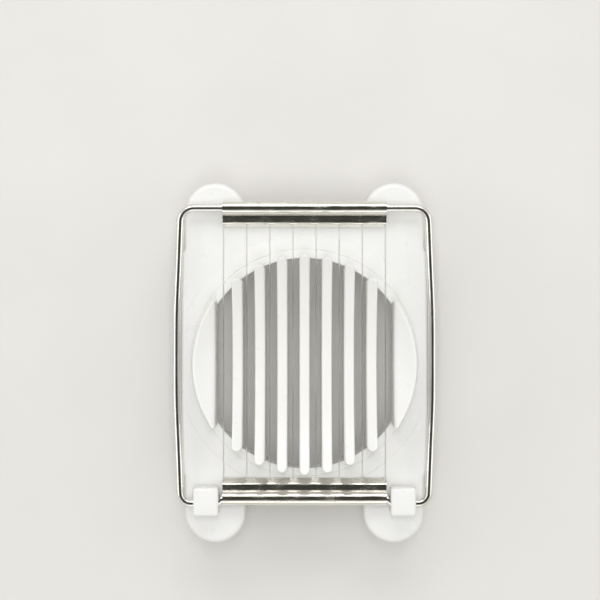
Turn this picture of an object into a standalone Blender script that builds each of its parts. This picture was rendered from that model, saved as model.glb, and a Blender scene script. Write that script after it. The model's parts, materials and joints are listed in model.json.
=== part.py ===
"""A hinged egg slicer: a moulded base with a ribbed egg cup, and a frame that carries the cutting wires.

Metres, +Z up. The origin is under the middle of the base, on the surface that it stands on. The hinge is
near the -Y end and its axle runs along X. The frame is closed, so the cutting wires lie between the ribs.
"""

from math import cos, hypot, pi, radians, sin, sqrt

import bmesh
import bpy

MM = 0.001

# Plate and legs, seen from above
LENGTH = 100.0 * MM
LEG_X = 24.8 * MM
LEG_RADIUS = 8.4 * MM
LEG_Y = LENGTH / 2 - LEG_RADIUS
LEG_INNER_Y = 31.0 * MM
SIDE_X = 34.1 * MM
SIDE_STEP_Y = 29.8 * MM
SIDE_STEP_LENGTH = 2.2 * MM
FAR_EDGE_Y = 40.0 * MM
HINGE_EDGE_Y = -36.5 * MM
EDGE_FILLET = 2.0 * MM

# Heights and walls of the moulding
PLATE_TOP = 17.5 * MM
PLATE_THICKNESS = 2.0 * MM
PLATE_CHAMFER = 0.9 * MM
SKIRT_DEPTH = 7.0 * MM
WALL = 1.7 * MM
LEG_TAPER = 0.7 * MM
LEG_TOP_INSET = 0.15 * MM
LEG_CEILING = 2.2 * MM

# Ring, opening and collar of the cup
OPENING_RADIUS = 29.0 * MM
RING_CREST_RADIUS = 31.4 * MM
RING_OUTER_RADIUS = 35.3 * MM
RING_RISE = 0.6 * MM
COLLAR_RADIUS = 30.9 * MM
COLLAR_DEPTH = 6.0 * MM

# Spherical seat for the egg, cut into ribs and two crescents
SEAT_FLOOR = PLATE_TOP + 2.9 * MM
SEAT_RADIUS = 49.6 * MM
RIB_COUNT = 7
RIB_PITCH = 6.1 * MM
RIB_WIDTH = 2.8 * MM
RIB_TIP_RADIUS = 29.7 * MM
RIB_BOTTOM = PLATE_TOP - 3.0 * MM
CRESCENT_X = 24.2 * MM
CRESCENT_RADIUS = 30.3 * MM
CRESCENT_HALF_LENGTH = 17.2 * MM
CRESCENT_WALL = 1.9 * MM

# Frame wire
AXLE_Y = -38.5 * MM
AXLE_Z = PLATE_TOP + 3.0 * MM
WIRE_RADIUS = 1.1 * MM
FRAME_X = 34.2 * MM
FRAME_BOW = 1.1 * MM
FRAME_FAR_Y = 42.8 * MM
FAR_BEND = 3.8 * MM
HINGE_BEND = 2.8 * MM
CRANK = 1.1 * MM
CRANK_X = 23.1 * MM
WIRE_END_X = 14.0 * MM

# Sheet-metal bars; across is measured from the middle of the curl towards the cutting wires
BAR_HALF_LENGTH = 22.6 * MM
SHEET = 0.35 * MM
FLANGE_DROP = 0.75 * MM
LIP_DROP = 2.3 * MM
FAR_CURL_RADIUS = 1.65 * MM
FAR_FLANGE_END = 4.1 * MM
FAR_LIP_REACH = 0.9 * MM
HINGE_CURL_RADIUS = 1.78 * MM
HINGE_CURL_Y = -37.05 * MM
HINGE_FLANGE_END = 3.7 * MM
HINGE_LIP_REACH = 1.6 * MM
CURL_START = radians(-22)
CURL_END = radians(300)

# Cutting wires
CUTTING_WIRE_COUNT = 8
CUTTING_WIRE_PITCH = 6.4 * MM
CUTTING_WIRE_RADIUS = 0.21 * MM
CUTTING_WIRE_Z = PLATE_TOP + 1.3 * MM
LIP_HOLE_RADIUS = 0.4 * MM
HOLE_REACH = 1.6 * MM
BEAD_RADIUS = 0.6 * MM
BEAD_FROM_LIP = 1.9 * MM

# Hinge caps and the saddles under the axle
CAP_X = 27.1 * MM
CAP_Y = -37.9 * MM
CAP_LENGTH_X = 7.0 * MM
CAP_LENGTH_Y = 7.9 * MM
CAP_TOP = PLATE_TOP + 5.9 * MM
CAP_GAP = 0.3 * MM
CAP_BEVEL = 0.8 * MM
BORE_RADIUS = 1.3 * MM
MOUTH_RADIUS = 2.3 * MM
MOUTH_LENGTH = 1.0 * MM
SADDLE_HALF_LENGTH = 2.7 * MM
SADDLE_X = 27.4 * MM
SADDLE_HALF_WIDTH = 1.0 * MM
SADDLE_TOP = AXLE_Z - WIRE_RADIUS - 0.2 * MM
PEG_RADIUS = 0.7 * MM
PEG_HOLE_RADIUS = 1.0 * MM
PEG_X = (25.5 * MM, 29.5 * MM)
PEG_Y = (-35.3 * MM, -40.8 * MM)
PEG_BOTTOM = PLATE_TOP - 3.2 * MM

SMOOTH_ANGLE = radians(35)
OVERRUN = 1.0 * MM


def clear_scene():
    """Remove whatever the file opened with."""
    for item in list(bpy.data.objects):
        bpy.data.objects.remove(item)


def make_material(name, colour, roughness, metallic):
    """A plain Principled material."""
    material = bpy.data.materials.new(name)
    material.use_nodes = True
    shader = material.node_tree.nodes["Principled BSDF"]
    shader.inputs["Base Color"].default_value = (*colour, 1.0)
    shader.inputs["Roughness"].default_value = roughness
    shader.inputs["Metallic"].default_value = metallic
    return material


def loft_into(mesh, rings):
    """Skin closed rings of equal point counts, and close both ends."""
    loops = [[mesh.verts.new(point) for point in ring] for ring in rings]
    count = len(loops[0])
    for lower, upper in zip(loops, loops[1:]):
        for i in range(count):
            j = (i + 1) % count
            mesh.faces.new((lower[i], lower[j], upper[j], upper[i]))
    mesh.faces.new(loops[0])
    mesh.faces.new(loops[-1])


def solid(name, *lofts):
    """An object with one closed body for each loft."""
    mesh = bmesh.new()
    for rings in lofts:
        loft_into(mesh, rings)
    bmesh.ops.recalc_face_normals(mesh, faces=mesh.faces)
    data = bpy.data.meshes.new(name)
    mesh.to_mesh(data)
    mesh.free()
    item = bpy.data.objects.new(name, data)
    bpy.context.collection.objects.link(item)
    return item


def combine(item, operation, other):
    """Apply one exact Boolean to item and discard the other object."""
    modifier = item.modifiers.new(operation, "BOOLEAN")
    modifier.operation = operation
    modifier.solver = "EXACT"
    modifier.object = other
    bpy.context.view_layer.update()
    result = item.evaluated_get(bpy.context.evaluated_depsgraph_get())
    item.data = bpy.data.meshes.new_from_object(result)
    item.modifiers.remove(modifier)
    bpy.data.objects.remove(other)


def finish(item, material):
    """Give a finished piece its material and its shading."""
    item.data.materials.clear()
    item.data.materials.append(material)
    item.data.shade_smooth()
    item.data.set_sharp_from_angle(angle=SMOOTH_ANGLE)


def arc(centre_x, centre_y, radius, start, end, steps):
    """Points on an arc, both ends included."""
    angles = [start + (end - start) * i / steps for i in range(steps + 1)]
    return [(centre_x + radius * cos(a), centre_y + radius * sin(a)) for a in angles]


def at_height(outline, z):
    """A flat outline lifted to a height."""
    return [(x, y, z) for x, y in outline]


def upright(outline, bottom, top):
    """The rings of a straight prism along Z."""
    return [at_height(outline, bottom), at_height(outline, top)]


def box_rings(x_range, y_range, z_range):
    """The rings of a box."""
    corners = [(x_range[i], y_range[j]) for i, j in ((0, 0), (1, 0), (1, 1), (0, 1))]
    return upright(corners, *z_range)


def mirrored(outline):
    """An outline reflected across the YZ plane."""
    return [(-x, y) for x, y in outline]


def base_outline(inset):
    """The plate with its four ears seen from above, drawn in by inset."""
    radius = LEG_RADIUS - inset
    fillet = EDGE_FILLET + inset
    fillet_x = LEG_X - LEG_RADIUS - EDGE_FILLET
    right = arc(fillet_x, HINGE_EDGE_Y - EDGE_FILLET, fillet, pi / 2, 0, 4)
    right += arc(LEG_X, -LEG_Y, radius, pi, 2 * pi, 20)
    right += [
        (LEG_X + radius, -SIDE_STEP_Y - SIDE_STEP_LENGTH),
        (SIDE_X - inset, -SIDE_STEP_Y),
        (SIDE_X - inset, SIDE_STEP_Y),
        (LEG_X + radius, SIDE_STEP_Y + SIDE_STEP_LENGTH),
    ]
    right += arc(LEG_X, LEG_Y, radius, 0, pi, 20)
    right += arc(fillet_x, FAR_EDGE_Y + EDGE_FILLET, fillet, 0, -pi / 2, 4)
    return right + mirrored(right)[::-1]


def leg_outline(side_x, side_y, inset):
    """One leg seen from above: round at its outer end and square at its inner end."""
    radius = LEG_RADIUS - inset
    inner_y = LEG_INNER_Y + inset
    points = arc(LEG_X, LEG_Y, radius, 0, pi, 16)
    points += [(LEG_X - radius, inner_y), (LEG_X + radius, inner_y)]
    return [(side_x * x, side_y * y) for x, y in points]


def leg_lofts(wall, bottom, top):
    """All four legs, or with a wall their hollows, narrowing towards the foot."""
    corners = [(side_x, side_y) for side_x in (-1, 1) for side_y in (-1, 1)]
    return [
        [
            at_height(leg_outline(side_x, side_y, LEG_TAPER + wall), bottom),
            at_height(leg_outline(side_x, side_y, LEG_TOP_INSET + wall), top),
        ]
        for side_x, side_y in corners
    ]


def trimmed_circle(radius, limit_x, steps=96):
    """A circle about the origin with its left and right sides cut straight at limit_x."""
    circle = arc(0, 0, radius, 0, 2 * pi, steps)[:-1]
    return [(max(-limit_x, min(limit_x, x)), y) for x, y in circle]


def seat_height(x, y):
    """The height of the spherical egg seat."""
    return SEAT_FLOOR + SEAT_RADIUS - sqrt(SEAT_RADIUS**2 - x**2 - y**2)


def rib_stations(half_length):
    """Places along a rib and its half-width there, with round ends."""
    half_width = RIB_WIDTH / 2
    straight = half_length - half_width
    end = [radians(a) for a in (0, 30, 55, 80)]
    ends = [(straight + half_width * sin(a), half_width * cos(a)) for a in end]
    middle = [(straight * i / 7, half_width) for i in range(-6, 7)]
    return [(-y, w) for y, w in reversed(ends)] + middle + ends


def rib_loft(x):
    """One rib: an upright fin whose top follows the egg seat."""
    half_length = sqrt(RIB_TIP_RADIUS**2 - x**2)
    rings = []
    for y, w in rib_stations(half_length):
        left, right = x - w, x + w
        rings.append(
            [
                (left, y, RIB_BOTTOM),
                (right, y, RIB_BOTTOM),
                (right, y, seat_height(right, y)),
                (left, y, seat_height(left, y)),
            ]
        )
    return rings


def crescent_loft(side):
    """The solid piece of the seat beyond the last gap, with a chord inside and an arc outside."""
    steps = 16
    rings = []
    for i in range(steps + 1):
        y = CRESCENT_HALF_LENGTH * (2 * i / steps - 1)
        outer = sqrt(CRESCENT_RADIUS**2 - y**2)
        across = [CRESCENT_X + (outer - CRESCENT_X) * part for part in (1, 0.66, 0.33, 0)]
        top = [(side * x, y, seat_height(x, y)) for x in across]
        rings.append([(side * CRESCENT_X, y, RIB_BOTTOM), (side * outer, y, RIB_BOTTOM), *top])
    return rings


def crescent_hollow(side):
    """The space under a crescent, open downwards."""
    inner = CRESCENT_X + CRESCENT_WALL
    radius = CRESCENT_RADIUS - CRESCENT_WALL
    top = seat_height(CRESCENT_X, 0) - CRESCENT_WALL
    half = sqrt(radius**2 - (inner + 0.8 * MM) ** 2)
    edge = [(sqrt(radius**2 - y**2), y) for y in (half * (i / 4 - 1) for i in range(9))]
    outline = [(side * x, y) for x, y in [*edge, (inner, half), (inner, -half)]]
    return upright(outline, RIB_BOTTOM - OVERRUN, top)


def rib_places():
    """The ribs' places along X."""
    return [RIB_PITCH * (i - (RIB_COUNT - 1) / 2) for i in range(RIB_COUNT)]


def saddle_rings(side):
    """The post that holds the axle up inside a hinge cap."""
    x_range = (side * SADDLE_X - SADDLE_HALF_LENGTH, side * SADDLE_X + SADDLE_HALF_LENGTH)
    y_range = (AXLE_Y - SADDLE_HALF_WIDTH, AXLE_Y + SADDLE_HALF_WIDTH)
    return box_rings(x_range, y_range, (PLATE_TOP - OVERRUN, SADDLE_TOP))


def peg_lofts(side, radius, bottom, top):
    """The four pegs of a cap, or with a larger radius the holes that they go into."""
    places = [(side * x, y) for x in PEG_X for y in PEG_Y]
    return [upright(arc(x, y, radius, 0, 2 * pi, 12)[:-1], bottom, top) for x, y in places]


def make_base(material):
    """The white moulding: plate, skirt, hollow legs, ring, egg seat and saddles."""
    bottom = PLATE_TOP - PLATE_THICKNESS
    skirt_bottom = PLATE_TOP - SKIRT_DEPTH
    sharp = base_outline(0)
    levels = [
        at_height(sharp, skirt_bottom),
        at_height(sharp, PLATE_TOP - PLATE_CHAMFER),
        at_height(base_outline(PLATE_CHAMFER), PLATE_TOP),
    ]
    base = solid("base", levels)
    combine(base, "DIFFERENCE", solid("room", upright(base_outline(WALL), skirt_bottom - OVERRUN, bottom)))
    combine(base, "UNION", solid("legs", *leg_lofts(0, 0, PLATE_TOP - PLATE_THICKNESS / 2)))
    hollow_top = PLATE_TOP - LEG_CEILING
    combine(base, "DIFFERENCE", solid("leg_hollows", *leg_lofts(WALL, -OVERRUN, hollow_top)))

    side_limit = SIDE_X - PLATE_CHAMFER - 0.1 * MM
    ring = [
        at_height(trimmed_circle(RING_OUTER_RADIUS, side_limit), PLATE_TOP - OVERRUN),
        at_height(trimmed_circle(RING_OUTER_RADIUS, side_limit), PLATE_TOP + 0.02 * MM),
        at_height(trimmed_circle(RING_CREST_RADIUS, side_limit), PLATE_TOP + RING_RISE),
    ]
    combine(base, "UNION", solid("ring", ring))
    collar = upright(trimmed_circle(COLLAR_RADIUS, SIDE_X), PLATE_TOP - COLLAR_DEPTH, PLATE_TOP - OVERRUN)
    combine(base, "UNION", solid("collar", collar))
    opening = upright(trimmed_circle(OPENING_RADIUS, SIDE_X), 0, PLATE_TOP + 2 * RING_RISE)
    combine(base, "DIFFERENCE", solid("opening", opening))

    combine(base, "UNION", solid("ribs", *[rib_loft(x) for x in rib_places()]))
    combine(base, "UNION", solid("crescents", crescent_loft(-1), crescent_loft(1)))
    combine(base, "DIFFERENCE", solid("crescent_hollows", crescent_hollow(-1), crescent_hollow(1)))
    combine(base, "UNION", solid("saddles", saddle_rings(-1), saddle_rings(1)))
    holes = [peg_lofts(side, PEG_HOLE_RADIUS, RIB_BOTTOM, SEAT_FLOOR) for side in (-1, 1)]
    combine(base, "DIFFERENCE", solid("peg_holes", *holes[0], *holes[1]))
    finish(base, material)


def axle_slot(side):
    """The slot that a cap is pushed over the axle with: an arch along X with a wider inner mouth."""
    inner = CAP_X - CAP_LENGTH_X / 2
    outer = CAP_X + CAP_LENGTH_X / 2
    places = [
        (inner - OVERRUN, MOUTH_RADIUS),
        (inner, MOUTH_RADIUS),
        (inner + MOUTH_LENGTH, BORE_RADIUS),
        (outer + OVERRUN, BORE_RADIUS),
    ]
    rings = []
    for x, radius in places:
        arch = arc(AXLE_Y, AXLE_Z, radius, 0, pi, 12)
        arch += [(AXLE_Y - radius, PLATE_TOP - OVERRUN), (AXLE_Y + radius, PLATE_TOP - OVERRUN)]
        rings.append([(side * x, y, z) for y, z in arch])
    return rings


def make_hinge_cap(name, side, material):
    """A cap that snaps into the plate with four pegs and holds the axle down."""
    x_range = (side * CAP_X - CAP_LENGTH_X / 2, side * CAP_X + CAP_LENGTH_X / 2)
    y_range = (CAP_Y - CAP_LENGTH_Y / 2, CAP_Y + CAP_LENGTH_Y / 2)
    cap = solid(name, box_rings(x_range, y_range, (PLATE_TOP + CAP_GAP, CAP_TOP)))
    mesh = bmesh.new()
    mesh.from_mesh(cap.data)
    rounded = [edge for edge in mesh.edges if max(v.co.z for v in edge.verts) > CAP_TOP - CAP_BEVEL]
    bmesh.ops.bevel(mesh, geom=rounded, offset=CAP_BEVEL, segments=3, profile=0.5, affect="EDGES")
    mesh.to_mesh(cap.data)
    mesh.free()
    combine(cap, "DIFFERENCE", solid("slot", axle_slot(side)))
    pegs = peg_lofts(side, PEG_RADIUS, PEG_BOTTOM, PLATE_TOP + CAP_GAP + 0.5 * MM)
    combine(cap, "UNION", solid("pegs", *pegs))
    finish(cap, material)


def frame_route():
    """The middle of the frame wire, round from its left end to its right one; its sides bow outwards."""
    bar_y = AXLE_Y + CRANK
    right = [
        (WIRE_END_X, bar_y),
        (CRANK_X, bar_y),
        (CRANK_X + CRANK, AXLE_Y),
    ]
    side_start = AXLE_Y + HINGE_BEND
    side_end = FRAME_FAR_Y - FAR_BEND
    right += arc(FRAME_X - HINGE_BEND, side_start, HINGE_BEND, -pi / 2, 0, 6)
    for i in range(1, 10):
        along = i / 10
        right.append((FRAME_X + FRAME_BOW * sin(pi * along), side_start + (side_end - side_start) * along))
    right += arc(FRAME_X - FAR_BEND, side_end, FAR_BEND, 0, pi / 2, 6)
    return mirrored(right) + right[::-1]


def make_frame_wire(material):
    """The U-shaped frame, whose cranked ends are the axle."""
    curve = bpy.data.curves.new("frame_wire", "CURVE")
    curve.dimensions = "3D"
    curve.bevel_depth = WIRE_RADIUS
    curve.bevel_resolution = 3
    curve.use_fill_caps = True
    route = frame_route()
    spline = curve.splines.new("POLY")
    spline.points.add(len(route) - 1)
    for point, (x, y) in zip(spline.points, route):
        point.co = (x, y, AXLE_Z, 1)
    curve.materials.append(material)
    bpy.context.collection.objects.link(bpy.data.objects.new("frame_wire", curve))


def thickened(path, thickness):
    """The outline of a strip whose middle follows an open path."""
    normals = []
    for (x0, y0), (x1, y1) in zip(path, path[1:]):
        length = hypot(x1 - x0, y1 - y0)
        normals.append(((y0 - y1) / length, (x1 - x0) / length))
    left, right = [], []
    for i, (x, y) in enumerate(path):
        ax, ay = normals[max(i - 1, 0)]
        bx, by = normals[min(i, len(normals) - 1)]
        scale = thickness / ((ax + bx) ** 2 + (ay + by) ** 2)
        nx, ny = (ax + bx) * scale, (ay + by) * scale
        left.append((x + nx, y + ny))
        right.append((x - nx, y - ny))
    return left + right[::-1]


def bar_section(curl_radius, flange_end, lip_reach):
    """A bar's cross-section, across and up from the middle of its curl: lip, flange and curl."""
    path = [
        (flange_end + lip_reach, -LIP_DROP),
        (flange_end, -FLANGE_DROP),
        (curl_radius + 0.1 * MM, -FLANGE_DROP),
    ]
    path += arc(0, 0, curl_radius, CURL_START, CURL_END, 18)
    return thickened(path, SHEET)


def wire_places():
    """The cutting wires' places along X."""
    middle = (CUTTING_WIRE_COUNT - 1) / 2
    return [CUTTING_WIRE_PITCH * (i - middle) for i in range(CUTTING_WIRE_COUNT)]


def make_bar(name, curl_y, inward, curl_radius, flange_end, lip_reach, material):
    """A strip curled round the frame wire, with a hole in its lip for each cutting wire."""
    section = bar_section(curl_radius, flange_end, lip_reach)
    ends = (-BAR_HALF_LENGTH, BAR_HALF_LENGTH)
    bar = solid(name, [[(x, curl_y + inward * u, AXLE_Z + z) for u, z in section] for x in ends])
    lip_y = curl_y + inward * (flange_end + lip_reach)
    holes = []
    for x in wire_places():
        circle = arc(x, CUTTING_WIRE_Z, LIP_HOLE_RADIUS, 0, 2 * pi, 8)[:-1]
        holes.append([[(u, y, z) for u, z in circle] for y in (lip_y - HOLE_REACH, lip_y + HOLE_REACH)])
    combine(bar, "DIFFERENCE", solid("holes", *holes))
    finish(bar, material)


def cutting_wire_rings(x, start_y, end_y):
    """A thin straight wire along Y with a bead at each end."""
    bead = [(-cos(a) * BEAD_RADIUS, sin(a) * BEAD_RADIUS) for a in (0.3, pi / 3, pi / 2, 2 * pi / 3)]
    neck = (BEAD_RADIUS * 0.94, CUTTING_WIRE_RADIUS)
    near = [(start_y + along, radius) for along, radius in [*bead, neck]]
    far = [(end_y - along, radius) for along, radius in [neck, *bead[::-1]]]
    rings = []
    for y, radius in near + far:
        circle = arc(x, CUTTING_WIRE_Z, radius, 0, 2 * pi, 8)[:-1]
        rings.append([(u, y, z) for u, z in circle])
    return rings


def make_cutting_wires(material):
    """The row of wires, each held by its beads behind the two lips."""
    start = HINGE_CURL_Y + HINGE_FLANGE_END + HINGE_LIP_REACH - BEAD_FROM_LIP
    end = FRAME_FAR_Y - FAR_FLANGE_END - FAR_LIP_REACH + BEAD_FROM_LIP
    for number, x in enumerate(wire_places(), 1):
        wire = solid(f"cutting_wire_{number}", cutting_wire_rings(x, start, end))
        finish(wire, material)


def main():
    clear_scene()
    plastic = make_material("white_plastic", (0.82, 0.82, 0.80), 0.35, 0.0)
    plated = make_material("plated_wire", (0.72, 0.71, 0.68), 0.2, 1.0)
    sheet = make_material("bright_sheet", (0.75, 0.74, 0.70), 0.15, 1.0)
    stainless = make_material("stainless_wire", (0.7, 0.7, 0.7), 0.25, 1.0)
    make_base(plastic)
    make_hinge_cap("hinge_cap_left", -1, plastic)
    make_hinge_cap("hinge_cap_right", 1, plastic)
    make_frame_wire(plated)
    make_bar("far_bar", FRAME_FAR_Y, -1, FAR_CURL_RADIUS, FAR_FLANGE_END, FAR_LIP_REACH, sheet)
    make_bar("hinge_bar", HINGE_CURL_Y, 1, HINGE_CURL_RADIUS, HINGE_FLANGE_END, HINGE_LIP_REACH, sheet)
    make_cutting_wires(stainless)


main()
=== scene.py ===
"""Looks of the egg slicer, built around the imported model: a white moulded base and a bright wire frame.

Metres, in the model's own frame: +Z up, the hinge axle along X near the -Y end, the free end towards +Y.
"""

import json
from math import cos, hypot, pi, radians, sin, sqrt

import bmesh
import bpy
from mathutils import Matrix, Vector

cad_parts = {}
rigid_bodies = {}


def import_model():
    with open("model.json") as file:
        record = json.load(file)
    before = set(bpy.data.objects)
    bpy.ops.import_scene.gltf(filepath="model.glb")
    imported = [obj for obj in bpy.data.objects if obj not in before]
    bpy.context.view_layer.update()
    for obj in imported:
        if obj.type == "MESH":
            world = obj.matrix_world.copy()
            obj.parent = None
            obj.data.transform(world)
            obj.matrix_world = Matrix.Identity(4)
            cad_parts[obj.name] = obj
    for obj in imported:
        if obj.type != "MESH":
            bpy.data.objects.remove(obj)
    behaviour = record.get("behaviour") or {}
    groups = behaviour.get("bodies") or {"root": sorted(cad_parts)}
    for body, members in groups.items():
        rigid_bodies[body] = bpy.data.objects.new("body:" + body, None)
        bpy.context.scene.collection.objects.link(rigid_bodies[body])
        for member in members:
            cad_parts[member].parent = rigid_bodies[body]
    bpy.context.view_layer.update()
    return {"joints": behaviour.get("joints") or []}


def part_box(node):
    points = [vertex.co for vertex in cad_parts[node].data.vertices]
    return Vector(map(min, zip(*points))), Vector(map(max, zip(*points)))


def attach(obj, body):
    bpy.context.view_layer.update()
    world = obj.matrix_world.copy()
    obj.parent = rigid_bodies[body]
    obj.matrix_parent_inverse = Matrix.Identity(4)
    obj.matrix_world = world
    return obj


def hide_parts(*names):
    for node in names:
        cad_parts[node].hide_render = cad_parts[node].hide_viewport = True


# The file starts empty, so only the model and what is made below are in it
for item in list(bpy.data.objects):
    bpy.data.objects.remove(item)
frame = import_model()

MM = 0.001

# Places read from the frame
AXLE = Vector(frame["joints"][0]["pos_m"])
BASE_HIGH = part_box("base")[1]
WIRE_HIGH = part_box("frame_wire")[1]
CAP_LOW, CAP_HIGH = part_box("hinge_cap_right")
BAR_HALF_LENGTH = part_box("far_bar")[1].x
CUTTING_WIRES = [f"cutting_wire_{number}" for number in range(1, 9)]

# Plate and legs
AXLE_RISE = 3.0 * MM
PLATE_TOP = AXLE.z - AXLE_RISE
PLATE_THICKNESS = 2.0 * MM
SKIRT_DEPTH = 7.0 * MM
WALL = 1.7 * MM
LEG_X = 24.8 * MM
LEG_RADIUS = 8.4 * MM
LEG_Y = BASE_HIGH.y - LEG_RADIUS
LEG_INNER_Y = 31.0 * MM
LEG_TAPER = 0.7 * MM
LEG_CEILING = 2.2 * MM
LEG_CORNER = 2.6 * MM
LEAST_LEG_CORNER = 0.1 * MM
SIDE_X = BASE_HIGH.x
SIDE_STEP_Y = 29.8 * MM
SIDE_STEP_LENGTH = 2.2 * MM
FAR_EDGE_Y = 40.0 * MM
HINGE_EDGE_Y = -36.5 * MM
EDGE_FILLET = 2.0 * MM
EDGE_ROUND = 1.5 * MM
RIM_ROUND = 0.35 * MM
# How far the plate stands back from the legs, so that no two faces share a plane
SHELL_INSET = 0.03 * MM
# The width of the flat band that keeps shading even beside a rounded edge
HOLD = 0.4 * MM

# Ring round the cup
OPENING_RADIUS = 29.0 * MM
RING_CREST_RADIUS = 31.4 * MM
RING_OUTER_RADIUS = 35.3 * MM
RING_RISE = 0.6 * MM
COLLAR_RADIUS = 30.9 * MM
COLLAR_DEPTH = 6.0 * MM
PLATE_HOLE_RADIUS = 30.1 * MM
RING_LIP_ROUND = 0.45 * MM
# The crease outside the crest: millimetres out from the crest and up from the ring's top
RING_CREASE = ((-0.30, 0.02), (-0.12, -0.05), (0, -0.22), (0.14, -0.24), (0.32, -0.10), (0.60, -0.10))
RING_SLOPE_START = RING_CREST_RADIUS + 0.9 * MM
RING_SLOPE_HIGH = RING_RISE - 0.11 * MM
RING_SLOPE_LOW = 0.20 * MM
# The step down to the plate: millimetres out from the ring's edge and up from the plate
RING_STEP = ((0.12, 0.16), (0.20, 0.06), (0.22, -0.06))
RING_ROOT_RADIUS = RING_OUTER_RADIUS + 0.2 * MM

# Egg seat
SEAT_FLOOR = PLATE_TOP + 2.9 * MM
SEAT_RADIUS = 49.6 * MM
SEAT_BOTTOM = PLATE_TOP - 3.0 * MM
RIB_PITCH = 6.1 * MM
RIB_WIDTH = 2.8 * MM
RIB_TIP_RADIUS = 29.7 * MM
RIB_ROUND = 0.6 * MM
RIB_DRAFT = 0.015
# Where a fin's round ends are cut into sections, in degrees round each end
FIN_END_ANGLES = (10, 20, 30, 40, 50, 60, 70, 78, 84, 88)
CRESCENT_X = 24.2 * MM
CRESCENT_RADIUS = 30.3 * MM
CRESCENT_CORNER = 0.5 * MM
CRESCENT_WALL = 1.9 * MM
CRESCENT_ROUND = 0.8 * MM
HOLLOW_TIP_WIDTH = 0.8 * MM

# Frame wire and bars
WIRE_RADIUS = 1.1 * MM
FRAME_BOW = 1.1 * MM
FRAME_X = WIRE_HIGH.x - WIRE_RADIUS - FRAME_BOW
FRAME_FAR_Y = WIRE_HIGH.y - WIRE_RADIUS
# The sides also waver inwards, by up to twice this depth and this many times along them
SIDE_WAVE = 0.04 * MM
SIDE_WAVES = 3
FAR_BEND = 3.8 * MM
HINGE_BEND = 2.8 * MM
CRANK = 1.1 * MM
CRANK_X = 23.1 * MM
CRANK_EASE = 0.3 * MM
CRANK_EASE_DROP = 0.08 * MM
WIRE_END_X = 14.0 * MM
SHEET = 0.35 * MM
FLANGE_DROP = 0.75 * MM
LIP_DROP = 2.3 * MM
FAR_CURL_RADIUS = 1.65 * MM
FAR_FLANGE_END = 4.1 * MM
FAR_LIP_REACH = 0.9 * MM
HINGE_CURL_RADIUS = 1.78 * MM
HINGE_CURL_Y = -37.05 * MM
HINGE_FLANGE_END = 3.7 * MM
HINGE_LIP_REACH = 1.5 * MM
CURL_START = radians(-22)
CURL_END = radians(300)
CREASE_GAP = 0.1 * MM
CREASE_EASE = 0.28 * MM
KNEE_EASE = 0.5 * MM
# The lip and the flange are pulled at each cutting wire, and waver once in 2 pi times the scale
LIP_PULL = 0.05 * MM
LIP_WAVE = 0.08 * MM
LIP_WAVE_SCALE = 7.3 * MM
FLANGE_PULL = 0.035 * MM
FLANGE_WAVE = 0.03 * MM
FLANGE_WAVE_SCALE = 5.1 * MM

# Cutting wires
CUTTING_WIRE_PITCH = 6.4 * MM
CUTTING_WIRE_RADIUS = 0.15 * MM
BEAD_RADIUS = 0.58 * MM
BEAD_NECK = 1.1 * BEAD_RADIUS

# Hinge caps, and the saddles inside them
CAP_ROUND = 0.9 * MM
LEAST_CAP_CORNER = 0.05 * MM
CAP_GAP = 0.3 * MM
CAP_FOOT_BEVEL = 0.15 * MM
CAP_CROWN = 0.12 * MM
# The crown over it: millimetres in from the rounded edge and down from the top
CAP_CROWN_RINGS = ((0.6, 0.03), (1.5, 0))
BORE_RADIUS = 1.3 * MM
MOUTH_RADIUS = 2.3 * MM
MOUTH_LENGTH = 1.0 * MM
PEG_RADIUS = 0.7 * MM
PEG_TIP = 0.7
PEG_TIP_LENGTH = 0.3 * MM
PEG_ROOT = 0.5 * MM
PEG_X = (25.5 * MM, 29.5 * MM)
PEG_Y = (-35.3 * MM, -40.8 * MM)
SADDLE_X = (24.7 * MM, 30.1 * MM)
SADDLE_HALF_WIDTH = 1.0 * MM
SADDLE_GAP = 0.2 * MM

# Studio: each softbox has its azimuth and elevation in degrees, its size in metres and its power in watts
FLOOR_HALF_SIZE = 12.0
SOFTBOX_DISTANCE = 0.9
SOFTBOXES = {
    "far_softbox": (180, 40, (0.8, 0.4), 2.6),
    "left_softbox": (262, 32, (0.7, 0.3), 1.0),
    "right_softbox": (98, 32, (0.7, 0.3), 0.8),
    "hinge_softbox": (0, 28, (0.6, 0.25), 0.5),
    "overhead_softbox": (0, 90, (0.22, 0.8), 3.7),
}
CAMERA_PLACE = Vector((-1.25 * MM, 17.5 * MM, PLATE_TOP + 430 * MM))
CAMERA_LENS = 93.0
CAMERA_SENSOR = 36.0

# World: the colour that lights matt surfaces, and what reflections see, from the horizon to overhead
WORLD_EVEN = (0.47, 0.464, 0.448)
WORLD_REFLECTED = (
    (0.02, (0.68, 0.67, 0.63)),
    (0.14, (0.80, 0.785, 0.74)),
    (0.77, (0.86, 0.85, 0.81)),
    (0.87, (0.05, 0.05, 0.046)),
)

# Edges that bend by more than this stay sharp in shading
SMOOTH_ANGLE = radians(32)
# How far a cutter or a root passes the face that it meets
OVERRUN = 1.0 * MM


# ---------------------------------------------------------------- mesh helpers


def loft_into(mesh, rings):
    """Skin closed rings of equal point counts, and close both ends."""
    loops = [[mesh.verts.new(point) for point in ring] for ring in rings]
    count = len(loops[0])
    for lower, upper in zip(loops, loops[1:]):
        for i in range(count):
            j = (i + 1) % count
            mesh.faces.new((lower[i], lower[j], upper[j], upper[i]))
    mesh.faces.new(loops[0])
    mesh.faces.new(loops[-1])


def object_from(name, mesh):
    """A new object that holds a bmesh."""
    bmesh.ops.recalc_face_normals(mesh, faces=mesh.faces)
    data = bpy.data.meshes.new(name)
    mesh.to_mesh(data)
    mesh.free()
    result = bpy.data.objects.new(name, data)
    bpy.context.scene.collection.objects.link(result)
    return result


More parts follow.
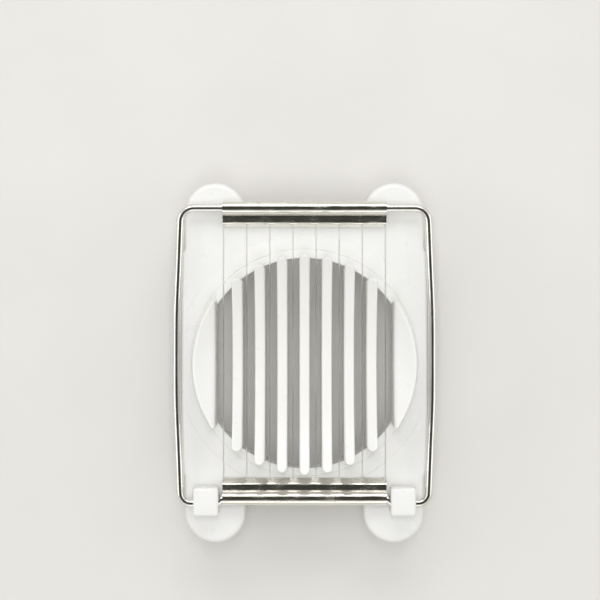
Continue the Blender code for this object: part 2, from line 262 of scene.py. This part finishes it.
def solid(name, *lofts):
    """An object with one closed body for each loft."""
    mesh = bmesh.new()
    for rings in lofts:
        loft_into(mesh, rings)
    return object_from(name, mesh)


def turned(name, profile, outline_at, steps=144):
    """A closed profile of (radius, height) turned about Z, with each circle drawn by outline_at."""
    mesh = bmesh.new()
    circles = [[mesh.verts.new((x, y, z)) for x, y in outline_at(radius, steps)] for radius, z in profile]
    for inner, outer in zip(circles, circles[1:] + circles[:1]):
        for i in range(steps):
            j = (i + 1) % steps
            mesh.faces.new((inner[i], inner[j], outer[j], outer[i]))
    return object_from(name, mesh)


def combine(target, operation, other):
    """Apply one exact Boolean to target and discard the other object."""
    modifier = target.modifiers.new(operation, "BOOLEAN")
    modifier.operation = operation
    modifier.solver = "EXACT"
    modifier.object = other
    bpy.context.view_layer.update()
    result = target.evaluated_get(bpy.context.evaluated_depsgraph_get())
    target.data = bpy.data.meshes.new_from_object(result)
    target.modifiers.remove(modifier)
    bpy.data.objects.remove(other)


def merge(name, parts):
    """One object that holds the bodies of several."""
    mesh = bmesh.new()
    for part in parts:
        mesh.from_mesh(part.data)
        bpy.data.objects.remove(part)
    return object_from(name, mesh)


def finish_piece(piece, material, body, slot, *nodes):
    """Shade a piece, give it its material, hang it on the body that carries it, and hide the solids that it
    stands for.
    """
    piece.data.materials.clear()
    piece.data.materials.append(material)
    piece.data.shade_smooth()
    piece.data.set_sharp_from_angle(angle=SMOOTH_ANGLE)
    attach(piece, body)
    if nodes:
        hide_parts(*nodes)


def arc(centre_x, centre_y, radius, start, end, steps):
    """Points on an arc, both ends included."""
    angles = [start + (end - start) * i / steps for i in range(steps + 1)]
    return [(centre_x + radius * cos(a), centre_y + radius * sin(a)) for a in angles]


def at_height(outline, z):
    """A flat outline lifted to a height."""
    return [(x, y, z) for x, y in outline]


def mirrored(outline):
    """An outline reflected across the YZ plane."""
    return [(-x, y) for x, y in outline]


def circle(radius, steps, centre_x=0, centre_y=0):
    """A full circle, about the origin unless a centre is given."""
    return arc(centre_x, centre_y, radius, 0, 2 * pi, steps)[:-1]


def quarter(steps):
    """Cosine and sine along a quarter turn, from 0 to 90 degrees."""
    return [(cos(pi / 2 * i / steps), sin(pi / 2 * i / steps)) for i in range(steps + 1)]


def parts_of(steps):
    """Even steps from 0 to 1."""
    return [i / steps for i in range(steps + 1)]


def eased(part):
    """A number from 0 to 1 made slow at both ends."""
    return part * part * (3 - 2 * part)


# ---------------------------------------------------------------- base


def side_step(start_x, start_y, end_x, end_y):
    """A smooth S between two widths of the plate's side."""
    width, length = end_x - start_x, end_y - start_y
    return [(start_x + width * eased(part), start_y + length * part) for part in parts_of(8)]


def base_outline(inset):
    """The plate with its four ears seen from above, drawn in by inset."""
    radius = LEG_RADIUS - inset
    fillet = EDGE_FILLET + inset
    fillet_x = LEG_X - LEG_RADIUS - EDGE_FILLET
    step_end = SIDE_STEP_Y + SIDE_STEP_LENGTH
    right = arc(fillet_x, HINGE_EDGE_Y - EDGE_FILLET, fillet, pi / 2, 0, 8)
    right += arc(LEG_X, -LEG_Y, radius, pi, 2 * pi, 40)
    right += side_step(LEG_X + radius, -step_end, SIDE_X - inset, -SIDE_STEP_Y)
    right += side_step(SIDE_X - inset, SIDE_STEP_Y, LEG_X + radius, step_end)
    right += arc(LEG_X, LEG_Y, radius, 0, pi, 40)
    right += arc(fillet_x, FAR_EDGE_Y + EDGE_FILLET, fillet, 0, -pi / 2, 8)
    return right + mirrored(right)[::-1]


def make_shell():
    """The plate and its skirt: a tray open downwards, with rounded edges and a hole for the ring."""
    skirt_bottom = PLATE_TOP - SKIRT_DEPTH
    underside = PLATE_TOP - PLATE_THICKNESS
    rim = [(RIM_ROUND * (1 - c), RIM_ROUND * (1 - s)) for c, s in quarter(3)]
    edge = [(EDGE_ROUND * (1 - c), EDGE_ROUND * (1 - s)) for c, s in reversed(quarter(7))]
    levels = [(EDGE_ROUND + HOLD, PLATE_TOP)]
    levels += [(inset, PLATE_TOP - drop) for inset, drop in edge]
    levels += [(inset, skirt_bottom + rise) for inset, rise in rim]
    levels += [(WALL - inset, skirt_bottom + rise) for inset, rise in reversed(rim)]
    levels += [(WALL + inset, underside - rise) for inset, rise in rim]
    levels += [(WALL + RIM_ROUND + HOLD, underside)]
    rings = [at_height(base_outline(SHELL_INSET + inset), z) for inset, z in levels]
    shell = solid("base_moulding", rings)
    hole = circle(PLATE_HOLE_RADIUS, 144)
    cutter = solid("hole", [at_height(hole, 0), at_height(hole, PLATE_TOP + OVERRUN)])
    combine(shell, "DIFFERENCE", cutter)
    return shell


def leg_outline(side_x, side_y, inset):
    """One leg seen from above: round at its outer end, with rounded corners at its inner end."""
    radius = LEG_RADIUS - inset
    corner = max(LEG_CORNER - inset, LEAST_LEG_CORNER)
    inner_y = LEG_INNER_Y + inset + corner
    points = arc(LEG_X, LEG_Y, radius, 0, pi, 32)
    points += arc(LEG_X - radius + corner, inner_y, corner, pi, 1.5 * pi, 6)
    points += arc(LEG_X + radius - corner, inner_y, corner, 1.5 * pi, 2 * pi, 6)
    return [(side_x * x, side_y * y) for x, y in points]


def leg_loft(side_x, side_y):
    """One hollow leg, flush with the skirt, then tapering down to its rim and up again to its ceiling."""
    levels = [(0, PLATE_TOP - EDGE_ROUND), (0, PLATE_TOP - SKIRT_DEPTH)]
    levels += [(LEG_TAPER + RIM_ROUND * (1 - c), RIM_ROUND * (1 - s)) for c, s in quarter(4)]
    inner = LEG_TAPER + WALL
    levels += [(inner - RIM_ROUND * (1 - c), RIM_ROUND * (1 - s)) for c, s in reversed(quarter(4))]
    levels += [(WALL, PLATE_TOP - LEG_CEILING)]
    return [at_height(leg_outline(side_x, side_y, inset), z) for inset, z in levels]


def trimmed_circle(radius, steps):
    """A circle whose left and right sides stop at the plate's rounded edges."""
    limit = SIDE_X - EDGE_ROUND
    return [(max(-limit, min(limit, x)), y) for x, y in circle(radius, steps)]


def ring_profile():
    """The ring's closed section: collar, rounded lip, crest, crease, outward slope and step."""
    top = PLATE_TOP + RING_RISE
    bottom = PLATE_TOP - COLLAR_DEPTH
    lip = RING_LIP_ROUND
    profile = [(OPENING_RADIUS, bottom + RIM_ROUND)]
    profile += [(OPENING_RADIUS + lip * (1 - c), top - lip * (1 - s)) for c, s in quarter(6)]
    profile += [(RING_CREST_RADIUS + out * MM, top + up * MM) for out, up in RING_CREASE]
    for part in parts_of(8):
        fall = 0.5 * (part + eased(part))
        height = RING_SLOPE_LOW + (RING_SLOPE_HIGH - RING_SLOPE_LOW) * (1 - fall)
        radius = RING_SLOPE_START + (RING_OUTER_RADIUS - RING_SLOPE_START) * part
        profile.append((radius, PLATE_TOP + height))
    profile += [(RING_OUTER_RADIUS + out * MM, PLATE_TOP + up * MM) for out, up in RING_STEP]
    profile += [
        (RING_ROOT_RADIUS, PLATE_TOP - OVERRUN),
        (COLLAR_RADIUS, PLATE_TOP - OVERRUN),
        (COLLAR_RADIUS, bottom + RIM_ROUND),
        (COLLAR_RADIUS - RIM_ROUND, bottom),
        (OPENING_RADIUS + RIM_ROUND, bottom),
    ]
    return profile


def seat_height(x, y):
    """The height of the spherical egg seat."""
    return SEAT_FLOOR + SEAT_RADIUS - sqrt(SEAT_RADIUS**2 - x**2 - y**2)


def fin_section(left, right, y, top_round, drop):
    """An upright section across X whose top follows the seat, with rounded corners and a slight draft."""
    width = right - left
    corner = min(top_round, 0.48 * width)
    foot = min(RIM_ROUND, 0.3 * width)
    spread = RIB_DRAFT * (seat_height(left, y) - SEAT_BOTTOM) * min(1, width / RIB_WIDTH)
    points = [(left - spread + foot, SEAT_BOTTOM), (left - spread, SEAT_BOTTOM + foot)]
    for c, s in quarter(5):
        x = left + corner * (1 - c)
        points.append((x, seat_height(x, y) - drop - corner * (1 - s)))
    for i in range(1, 6):
        x = left + corner + (width - 2 * corner) * i / 6
        points.append((x, seat_height(x, y) - drop))
    for c, s in reversed(quarter(5)):
        x = right - corner * (1 - c)
        points.append((x, seat_height(x, y) - drop - corner * (1 - s)))
    points += [(right + spread, SEAT_BOTTOM + foot), (right + spread - foot, SEAT_BOTTOM)]
    return [(x, y, z) for x, z in points]


def fin_stations(half_length, end_round, steps=40):
    """Places along a fin, closer together in its round ends."""
    straight = half_length - end_round
    middle = [straight * (2 * i / steps - 1) for i in range(steps + 1)]
    end = [straight + end_round * sin(radians(angle)) for angle in FIN_END_ANGLES]
    return [-y for y in reversed(end)] + middle + end


def tip_drop(y, half_length):
    """How far a fin's top edge rounds down near its ends."""
    into = max(0, abs(y) - (half_length - RIB_ROUND)) / RIB_ROUND
    return RIB_ROUND * (1 - sqrt(max(0, 1 - into * into)))


def rib_loft(x):
    """One rib: an upright fin with round ends whose top follows the egg seat."""
    half_width = RIB_WIDTH / 2
    half_length = sqrt(RIB_TIP_RADIUS**2 - x**2)
    rings = []
    for y in fin_stations(half_length, half_width):
        into = max(0, abs(y) - (half_length - half_width)) / half_width
        w = half_width * sqrt(1 - into * into)
        rings.append(fin_section(x - w, x + w, y, RIB_ROUND, tip_drop(y, half_length)))
    return rings


def crescent_loft():
    """The right crescent: a chord inside, an arc outside, and rounded corners between them."""
    corner = CRESCENT_CORNER
    centre_x = CRESCENT_X + corner
    centre_y = sqrt((CRESCENT_RADIUS - corner) ** 2 - centre_x**2)
    tangent_y = centre_y * CRESCENT_RADIUS / (CRESCENT_RADIUS - corner)
    rings = []
    for y in fin_stations(centre_y + corner, corner):
        reach = abs(y)
        round_x = sqrt(max(0, corner**2 - max(0, reach - centre_y) ** 2))
        inner = centre_x - round_x
        outer = sqrt(CRESCENT_RADIUS**2 - y**2) if reach < tangent_y else centre_x + round_x
        rings.append(fin_section(inner, outer, y, CRESCENT_ROUND, tip_drop(y, centre_y + corner)))
    return rings


def crescent_hollow_rings():
    """The space under the right crescent, open downwards."""
    inner = CRESCENT_X + CRESCENT_WALL
    radius = CRESCENT_RADIUS - CRESCENT_WALL
    half = sqrt(radius**2 - (inner + HOLLOW_TIP_WIDTH) ** 2)
    edge = [(sqrt(radius**2 - y**2), y) for y in (half * (i / 12 - 1) for i in range(25))]
    outline = [*edge, (inner, half), (inner, -half)]
    top = seat_height(CRESCENT_X, 0) - CRESCENT_WALL
    return [at_height(outline, SEAT_BOTTOM - OVERRUN), at_height(outline, top)]


def flipped(rings):
    """Rings reflected across the YZ plane."""
    return [[(-x, y, z) for x, y, z in ring] for ring in rings]


def make_crescents():
    """Both crescents, hollow underneath."""
    right = crescent_loft()
    crescents = solid("crescents", right, flipped(right))
    hollow = crescent_hollow_rings()
    combine(crescents, "DIFFERENCE", solid("hollows", hollow, flipped(hollow)))
    return crescents


def saddle_rings(side):
    """The post that holds the axle up inside a hinge cap."""
    near, far = side * SADDLE_X[0], side * SADDLE_X[1]
    front, back = AXLE.y - SADDLE_HALF_WIDTH, AXLE.y + SADDLE_HALF_WIDTH
    outline = [(near, front), (far, front), (far, back), (near, back)]
    top = AXLE.z - WIRE_RADIUS - SADDLE_GAP
    return [at_height(outline, PLATE_TOP - OVERRUN), at_height(outline, top)]


def make_base(plastic):
    """The white moulding in one piece."""
    legs = solid("legs", *[leg_loft(x, y) for x in (-1, 1) for y in (-1, 1)])
    ribs = solid("ribs", *[rib_loft(RIB_PITCH * i) for i in range(-3, 4)])
    saddles = solid("saddles", saddle_rings(-1), saddle_rings(1))
    base = merge("base_moulding", [make_shell(), legs, ribs, make_crescents(), saddles])
    finish_piece(base, plastic, "base", "white_plastic", "base")


def make_ring(plastic):
    """The turned ring round the cup, whose mould was cut on a lathe."""
    ring = turned("cup_ring", ring_profile(), trimmed_circle)
    finish_piece(ring, plastic, "base", "white_plastic")


# ---------------------------------------------------------------- hinge caps


def axle_slot(side):
    """The arch along X that a cap is pushed over the axle with, wider at its inner mouth."""
    places = [
        (CAP_LOW.x - OVERRUN, MOUTH_RADIUS),
        (CAP_LOW.x, MOUTH_RADIUS),
        (CAP_LOW.x + MOUTH_LENGTH, BORE_RADIUS),
        (CAP_HIGH.x + OVERRUN, BORE_RADIUS),
    ]
    rings = []
    for x, radius in places:
        arch = arc(AXLE.y, AXLE.z, radius, 0, pi, 24)
        arch += [(AXLE.y - radius, PLATE_TOP - OVERRUN), (AXLE.y + radius, PLATE_TOP - OVERRUN)]
        rings.append([(side * x, y, z) for y, z in arch])
    return rings


def cap_outline(side, inset):
    """A cap seen from above: a square with rounded corners, drawn in by inset."""
    corner = max(CAP_ROUND - inset, LEAST_CAP_CORNER)
    right = CAP_HIGH.x - inset - corner
    left = CAP_LOW.x + inset + corner
    back = CAP_HIGH.y - inset - corner
    front = CAP_LOW.y + inset + corner
    centres = [(right, back), (left, back), (left, front), (right, front)]
    points = []
    for turn, (x, y) in enumerate(centres):
        points += arc(x, y, corner, turn * pi / 2, (turn + 1) * pi / 2, 6)
    return [(side * x, y) for x, y in points]


def peg_loft(x, y, top):
    """One peg under a cap, with a tapered tip."""
    levels = [
        (PEG_RADIUS, top),
        (PEG_RADIUS, CAP_LOW.z + PEG_TIP_LENGTH),
        (PEG_TIP * PEG_RADIUS, CAP_LOW.z),
    ]
    return [at_height(circle(radius, 20, x, y), z) for radius, z in levels]


def make_hinge_cap(name, side, plastic):
    """A soft-edged cap with its four pegs and the slot for the axle."""
    bottom = PLATE_TOP + CAP_GAP
    shoulder = CAP_HIGH.z - CAP_CROWN
    levels = [(CAP_FOOT_BEVEL, bottom), (0, bottom + CAP_FOOT_BEVEL)]
    levels += [(CAP_ROUND * (1 - c), shoulder - CAP_ROUND * (1 - s)) for c, s in quarter(6)]
    levels += [(CAP_ROUND + inward * MM, CAP_HIGH.z - down * MM) for inward, down in CAP_CROWN_RINGS]
    cap = solid(name, [at_height(cap_outline(side, inset), z) for inset, z in levels])
    combine(cap, "DIFFERENCE", solid("slot", axle_slot(side)))
    pegs = [peg_loft(side * x, y, bottom + PEG_ROOT) for x in PEG_X for y in PEG_Y]
    cap = merge(name, [cap, solid("pegs", *pegs)])
    finish_piece(cap, plastic, "base", "white_plastic", name.replace("_cover", ""))


# ---------------------------------------------------------------- frame wire and bars


def frame_route():
    """The middle of the frame wire, round from the left hinge end to the right one."""
    bar_y = AXLE.y + CRANK
    crank_end = CRANK_X + CRANK
    right = [(WIRE_END_X, bar_y), (CRANK_X - CRANK_EASE, bar_y), (CRANK_X, bar_y - CRANK_EASE_DROP)]
    right += [(crank_end, AXLE.y + CRANK_EASE_DROP), (crank_end + CRANK_EASE, AXLE.y)]
    right += arc(FRAME_X - HINGE_BEND, AXLE.y + HINGE_BEND, HINGE_BEND, -pi / 2, 0, 16)
    start_y = AXLE.y + HINGE_BEND
    end_y = FRAME_FAR_Y - FAR_BEND
    for part in parts_of(40)[1:-1]:
        bow = FRAME_BOW * sin(pi * part) - SIDE_WAVE * (1 - cos(2 * pi * SIDE_WAVES * part))
        right.append((FRAME_X + bow, start_y + (end_y - start_y) * part))
    right += arc(FRAME_X - FAR_BEND, end_y, FAR_BEND, 0, pi / 2, 20)
    return mirrored(right) + right[::-1]


def make_frame_wire(steel):
    """The bent wire frame, slightly uneven along its sides."""
    curve = bpy.data.curves.new("frame_bail", "CURVE")
    curve.dimensions = "3D"
    curve.bevel_depth = WIRE_RADIUS
    curve.bevel_resolution = 8
    curve.use_fill_caps = True
    route = frame_route()
    spline = curve.splines.new("POLY")
    spline.points.add(len(route) - 1)
    for point, (x, y) in zip(spline.points, route):
        point.co = (x, y, AXLE.z, 1)
    guide = bpy.data.objects.new("guide", curve)
    bpy.context.scene.collection.objects.link(guide)
    bpy.context.view_layer.update()
    data = bpy.data.meshes.new_from_object(guide.evaluated_get(bpy.context.evaluated_depsgraph_get()))
    bpy.data.objects.remove(guide)
    bail = bpy.data.objects.new("frame_bail", data)
    bpy.context.scene.collection.objects.link(bail)
    finish_piece(bail, steel, "wire_frame", "plated_wire", "frame_wire")


def eased_corner(before, corner, after, reach, steps=6):
    """A short curve in place of a sharp corner."""
    points = []
    ends = []
    for x, y in (before, after):
        length = hypot(x - corner[0], y - corner[1])
        part = min(reach / length, 0.5)
        ends.append((corner[0] + (x - corner[0]) * part, corner[1] + (y - corner[1]) * part))
    for i in range(steps + 1):
        t = i / steps
        weights = ((1 - t) ** 2, 2 * t * (1 - t), t * t)
        control = (ends[0], corner, ends[1])
        points.append(tuple(sum(w * p[k] for w, p in zip(weights, control)) for k in (0, 1)))
    return points


def bar_path(curl_radius, flange_end, lip_reach, flare, ripple):
    """The middle of the sheet across a bar: lip, flange and curl, with its local unevenness."""
    lip = (flange_end + lip_reach + flare, -LIP_DROP)
    knee = (flange_end + 0.3 * flare, -FLANGE_DROP + ripple)
    crease = (curl_radius + CREASE_GAP, -FLANGE_DROP + 0.4 * ripple)
    curl = arc(0, 0, curl_radius, CURL_START, CURL_END, 40)
    path = [lip]
    path += eased_corner(lip, knee, crease, KNEE_EASE)
    path += eased_corner(knee, crease, curl[3], CREASE_EASE)
    return path + curl[4:]


def thickened(path, thickness):
    """The outline of a strip whose middle follows an open path."""
    normals = []
    for (x0, y0), (x1, y1) in zip(path, path[1:]):
        length = hypot(x1 - x0, y1 - y0)
        normals.append(((y0 - y1) / length, (x1 - x0) / length))
    left, right = [], []
    for i, (x, y) in enumerate(path):
        ax, ay = normals[max(i - 1, 0)]
        bx, by = normals[min(i, len(normals) - 1)]
        scale = thickness / ((ax + bx) ** 2 + (ay + by) ** 2)
        nx, ny = (ax + bx) * scale, (ay + by) * scale
        left.append((x + nx, y + ny))
        right.append((x - nx, y - ny))
    return left + right[::-1]


def make_bar(name, curl_y, inward, shape, phase, sheet, node):
    """A strip curled round the frame wire; its lip is pulled in a little at each cutting wire."""
    steps = 180
    rings = []
    for i in range(steps + 1):
        x = BAR_HALF_LENGTH * (2 * i / steps - 1)
        at_wire = cos(2 * pi * (x / CUTTING_WIRE_PITCH + 0.5))
        flare = LIP_PULL * at_wire + LIP_WAVE * sin(x / LIP_WAVE_SCALE + phase)
        ripple = FLANGE_PULL * at_wire + FLANGE_WAVE * sin(x / FLANGE_WAVE_SCALE + 2 * phase)
        section = thickened(bar_path(*shape, flare, ripple), SHEET)
        rings.append([(x, curl_y + inward * u, AXLE.z + z) for u, z in section])
    bar = solid(name, rings)
    finish_piece(bar, sheet, "wire_frame", "bright_sheet", node)


def make_cutting_wire(node, steel):
    """A drawn wire with a small crimped bead behind each lip."""
    low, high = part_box(node)
    x = (low.x + high.x) / 2
    z = (low.z + high.z) / 2
    bead = [(-c * BEAD_RADIUS, s * BEAD_RADIUS) for c, s in quarter(6)][1:]
    bead += [(c * BEAD_RADIUS, s * BEAD_RADIUS) for c, s in reversed(quarter(6))][1:-2]
    bead.append((BEAD_NECK, CUTTING_WIRE_RADIUS))
    near = [(low.y + BEAD_RADIUS + along, radius) for along, radius in bead]
    far = [(high.y - BEAD_RADIUS - along, radius) for along, radius in reversed(bead)]
    rings = []
    for y, radius in near + far:
        rings.append([(u, y, v) for u, v in circle(radius, 16, x, z)])
    wire = solid(node.replace("cutting_wire", "slicing_wire"), rings)
    finish_piece(wire, steel, "wire_frame", "stainless_wire", node)


# ---------------------------------------------------------------- materials


class Recipe:
    """A Principled material and short ways to add procedural nodes to it."""

    def __init__(self, name, colour, roughness, metallic=0.0):
        self.material = bpy.data.materials.new(name)
        self.material.use_nodes = True
        self.tree = self.material.node_tree
        self.shader = self.tree.nodes["Principled BSDF"]
        self.shader.inputs["Base Color"].default_value = (*colour, 1.0)
        self.shader.inputs["Roughness"].default_value = roughness
        self.shader.inputs["Metallic"].default_value = metallic
        self.place = self.tree.nodes.new("ShaderNodeTexCoord").outputs["Object"]

    def stretched(self, scale):
        """Object coordinates with a different scale along each axis."""
        node = self.tree.nodes.new("ShaderNodeMapping")
        node.inputs["Scale"].default_value = scale
        self.tree.links.new(self.place, node.inputs["Vector"])
        return node.outputs["Vector"]

    def noise(self, scale, detail=3.0, vector=None):
        """A noise pattern, with its scale in cycles per metre."""
        node = self.tree.nodes.new("ShaderNodeTexNoise")
        node.inputs["Scale"].default_value = scale
        node.inputs["Detail"].default_value = detail
        self.tree.links.new(vector or self.place, node.inputs["Vector"])
        return node.outputs["Fac"]

    def ranged(self, value, low, high, start=0.3, end=0.7):
        """A pattern's values spread between two numbers."""
        node = self.tree.nodes.new("ShaderNodeMapRange")
        node.inputs["From Min"].default_value = start
        node.inputs["From Max"].default_value = end
        node.inputs["To Min"].default_value = low
        node.inputs["To Max"].default_value = high
        self.tree.links.new(value, node.inputs["Value"])
        return node.outputs["Result"]

    def vary_roughness(self, value):
        """Drive the roughness with a pattern."""
        self.tree.links.new(value, self.shader.inputs["Roughness"])

    def vary_colour(self, pattern, first, second):
        """Blend between two colours with a pattern."""
        node = self.tree.nodes.new("ShaderNodeMix")
        node.data_type = "RGBA"
        node.inputs["A"].default_value = (*first, 1.0)
        node.inputs["B"].default_value = (*second, 1.0)
        self.tree.links.new(pattern, node.inputs["Factor"])
        self.tree.links.new(node.outputs["Result"], self.shader.inputs["Base Color"])

    def bump(self, pattern, depth):
        """Add a fine relief of the given depth in metres over any earlier one."""
        node = self.tree.nodes.new("ShaderNodeBump")
        node.inputs["Strength"].default_value = 1.0
        node.inputs["Distance"].default_value = depth
        self.tree.links.new(pattern, node.inputs["Height"])
        normal = self.shader.inputs["Normal"]
        if normal.is_linked:
            self.tree.links.new(normal.links[0].from_socket, node.inputs["Normal"])
        self.tree.links.new(node.outputs["Normal"], normal)


def plastic_recipe(name):
    """Glossy white polypropylene: slight mottling, uneven gloss and soft sink marks."""
    recipe = Recipe(name, (0.78, 0.78, 0.765), 0.32)
    mottling = recipe.noise(55, 4)
    gloss = recipe.noise(160, 5)
    sink_marks = recipe.noise(70, 2)
    grain = recipe.noise(900, 3)
    recipe.vary_colour(recipe.ranged(mottling, 0, 1), (0.77, 0.772, 0.757), (0.80, 0.80, 0.787))
    recipe.vary_roughness(recipe.ranged(gloss, 0.26, 0.42))
    recipe.bump(sink_marks, 0.12 * MM)
    recipe.bump(grain, 0.003 * MM)
    recipe.shader.inputs["IOR"].default_value = 1.49
    return recipe


def turned_plastic(name):
    """The same plastic with the faint rings that a turned mould leaves."""
    recipe = plastic_recipe(name)
    wave = recipe.tree.nodes.new("ShaderNodeTexWave")
    wave.wave_type = "RINGS"
    wave.rings_direction = "Z"
    wave.inputs["Scale"].default_value = 520
    wave.inputs["Distortion"].default_value = 0.6
    wave.inputs["Detail"].default_value = 1.0
    recipe.tree.links.new(recipe.place, wave.inputs["Vector"])
    recipe.bump(wave.outputs["Fac"], 0.012 * MM)
    return recipe.material


def plated_wire_material():
    """Bright plated steel wire with fine drawing marks and a few duller patches."""
    recipe = Recipe("plated_wire", (0.80, 0.79, 0.755), 0.16, 1.0)
    tarnish = recipe.noise(90, 4)
    patches = recipe.noise(260, 5)
    drawing_marks = recipe.noise(1400, 3)
    recipe.vary_colour(recipe.ranged(tarnish, 0, 1), (0.74, 0.73, 0.69), (0.84, 0.83, 0.80))
    recipe.vary_roughness(recipe.ranged(patches, 0.10, 0.26))
    recipe.bump(drawing_marks, 0.008 * MM)
    return recipe.material


def bright_sheet_material():
    """Bright rolled sheet: rolling streaks, a gentle waviness and duller smears from handling."""
    recipe = Recipe("bright_sheet", (0.82, 0.80, 0.74), 0.16, 1.0)
    streaks = recipe.noise(1, 4, recipe.stretched((60, 2400, 2400)))
    smears = recipe.noise(1, 5, recipe.stretched((220, 600, 600)))
    waviness = recipe.noise(1, 2, recipe.stretched((110, 220, 220)))
    recipe.vary_colour(recipe.ranged(streaks, 0, 1), (0.79, 0.77, 0.70), (0.87, 0.855, 0.80))
    recipe.vary_roughness(recipe.ranged(smears, 0.10, 0.36, 0.40, 0.72))
    recipe.bump(waviness, 0.13 * MM)
    recipe.bump(streaks, 0.012 * MM)
    return recipe.material


def stainless_material():
    """Drawn stainless wire with lines along its length."""
    recipe = Recipe("stainless_wire", (0.86, 0.86, 0.84), 0.42, 1.0)
    lines = recipe.noise(1, 3, recipe.stretched((9000, 300, 9000)))
    recipe.vary_roughness(recipe.ranged(lines, 0.34, 0.52))
    recipe.bump(lines, 0.003 * MM)
    return recipe.material


# ---------------------------------------------------------------- studio


def make_floor():
    """A plain pale floor."""
    mesh = bmesh.new()
    bmesh.ops.create_grid(mesh, x_segments=2, y_segments=2, size=FLOOR_HALF_SIZE)
    floor = object_from("floor", mesh)
    recipe = Recipe("floor", (0.69, 0.68, 0.65), 0.85)
    clouding = recipe.noise(30, 4)
    recipe.vary_colour(recipe.ranged(clouding, 0, 1), (0.68, 0.67, 0.64), (0.70, 0.69, 0.66))
    floor.data.materials.append(recipe.material)


def add_softbox(name, azimuth, elevation, size, power):
    """A rectangular area light that faces the object; azimuth 0 is at the hinge end and 90 on the right."""
    light = bpy.data.lights.new(name, "AREA")
    light.shape = "RECTANGLE"
    light.size, light.size_y = size
    light.energy = power
    lamp = bpy.data.objects.new(name, light)
    turn, rise = radians(azimuth), radians(elevation)
    direction = Vector((sin(turn) * cos(rise), -cos(turn) * cos(rise), sin(rise)))
    lamp.location = direction * SOFTBOX_DISTANCE
    lamp.rotation_euler = direction.to_track_quat("Z", "Y").to_euler()
    bpy.context.scene.collection.objects.link(lamp)
    return lamp


def make_world():
    """Even soft light; what shines sees a studio that is bright all round and dark overhead."""
    world = bpy.data.worlds.new("studio")
    world.use_nodes = True
    nodes, links = world.node_tree.nodes, world.node_tree.links
    coordinates = nodes.new("ShaderNodeTexCoord")
    split = nodes.new("ShaderNodeSeparateXYZ")
    ramp = nodes.new("ShaderNodeValToRGB")
    stops = ramp.color_ramp.elements
    stops.remove(stops[1])
    for position, _ in WORLD_REFLECTED[1:]:
        stops.new(position)
    for stop, (position, colour) in zip(stops, WORLD_REFLECTED):
        stop.position = position
        stop.color = (*colour, 1)
    path = nodes.new("ShaderNodeLightPath")
    choice = nodes.new("ShaderNodeMix")
    choice.data_type = "RGBA"
    choice.inputs["A"].default_value = (*WORLD_EVEN, 1)
    links.new(coordinates.outputs["Generated"], split.inputs["Vector"])
    links.new(split.outputs["Z"], ramp.inputs["Fac"])
    links.new(path.outputs["Is Glossy Ray"], choice.inputs["Factor"])
    links.new(ramp.outputs["Color"], choice.inputs["B"])
    links.new(choice.outputs["Result"], nodes["Background"].inputs["Color"])
    nodes["Background"].inputs["Strength"].default_value = 1.0
    bpy.context.scene.world = world


def make_camera():
    """Straight above, with the hinge at the bottom of the view."""
    camera = bpy.data.cameras.new("camera")
    camera.lens = CAMERA_LENS
    camera.sensor_width = CAMERA_SENSOR
    camera.clip_start = 0.01
    holder = bpy.data.objects.new("camera", camera)
    holder.location = CAMERA_PLACE
    bpy.context.scene.collection.objects.link(holder)
    bpy.context.scene.camera = holder


def make_studio():
    """Floor, camera and soft lights; the light overhead stays out of reflections."""
    make_floor()
    make_world()
    make_camera()
    lamps = {name: add_softbox(name, *settings) for name, settings in SOFTBOXES.items()}
    lamps["overhead_softbox"].visible_glossy = False
    bpy.context.scene.view_settings.view_transform = "Standard"


def main():
    """The studio, then each visible piece in place of its solid."""
    make_studio()
    plastic = plastic_recipe("white_plastic").material
    make_base(plastic)
    make_ring(turned_plastic("white_plastic_turned"))
    make_hinge_cap("hinge_cap_left_cover", -1, plastic)
    make_hinge_cap("hinge_cap_right_cover", 1, plastic)
    make_frame_wire(plated_wire_material())
    sheet = bright_sheet_material()
    far_shape = (FAR_CURL_RADIUS, FAR_FLANGE_END, FAR_LIP_REACH)
    hinge_shape = (HINGE_CURL_RADIUS, HINGE_FLANGE_END, HINGE_LIP_REACH)
    make_bar("far_clamp_bar", FRAME_FAR_Y, -1, far_shape, 0.4, sheet, "far_bar")
    make_bar("hinge_clamp_bar", HINGE_CURL_Y, 1, hinge_shape, 2.1, sheet, "hinge_bar")
    steel = stainless_material()
    for node in CUTTING_WIRES:
        make_cutting_wire(node, steel)


main()
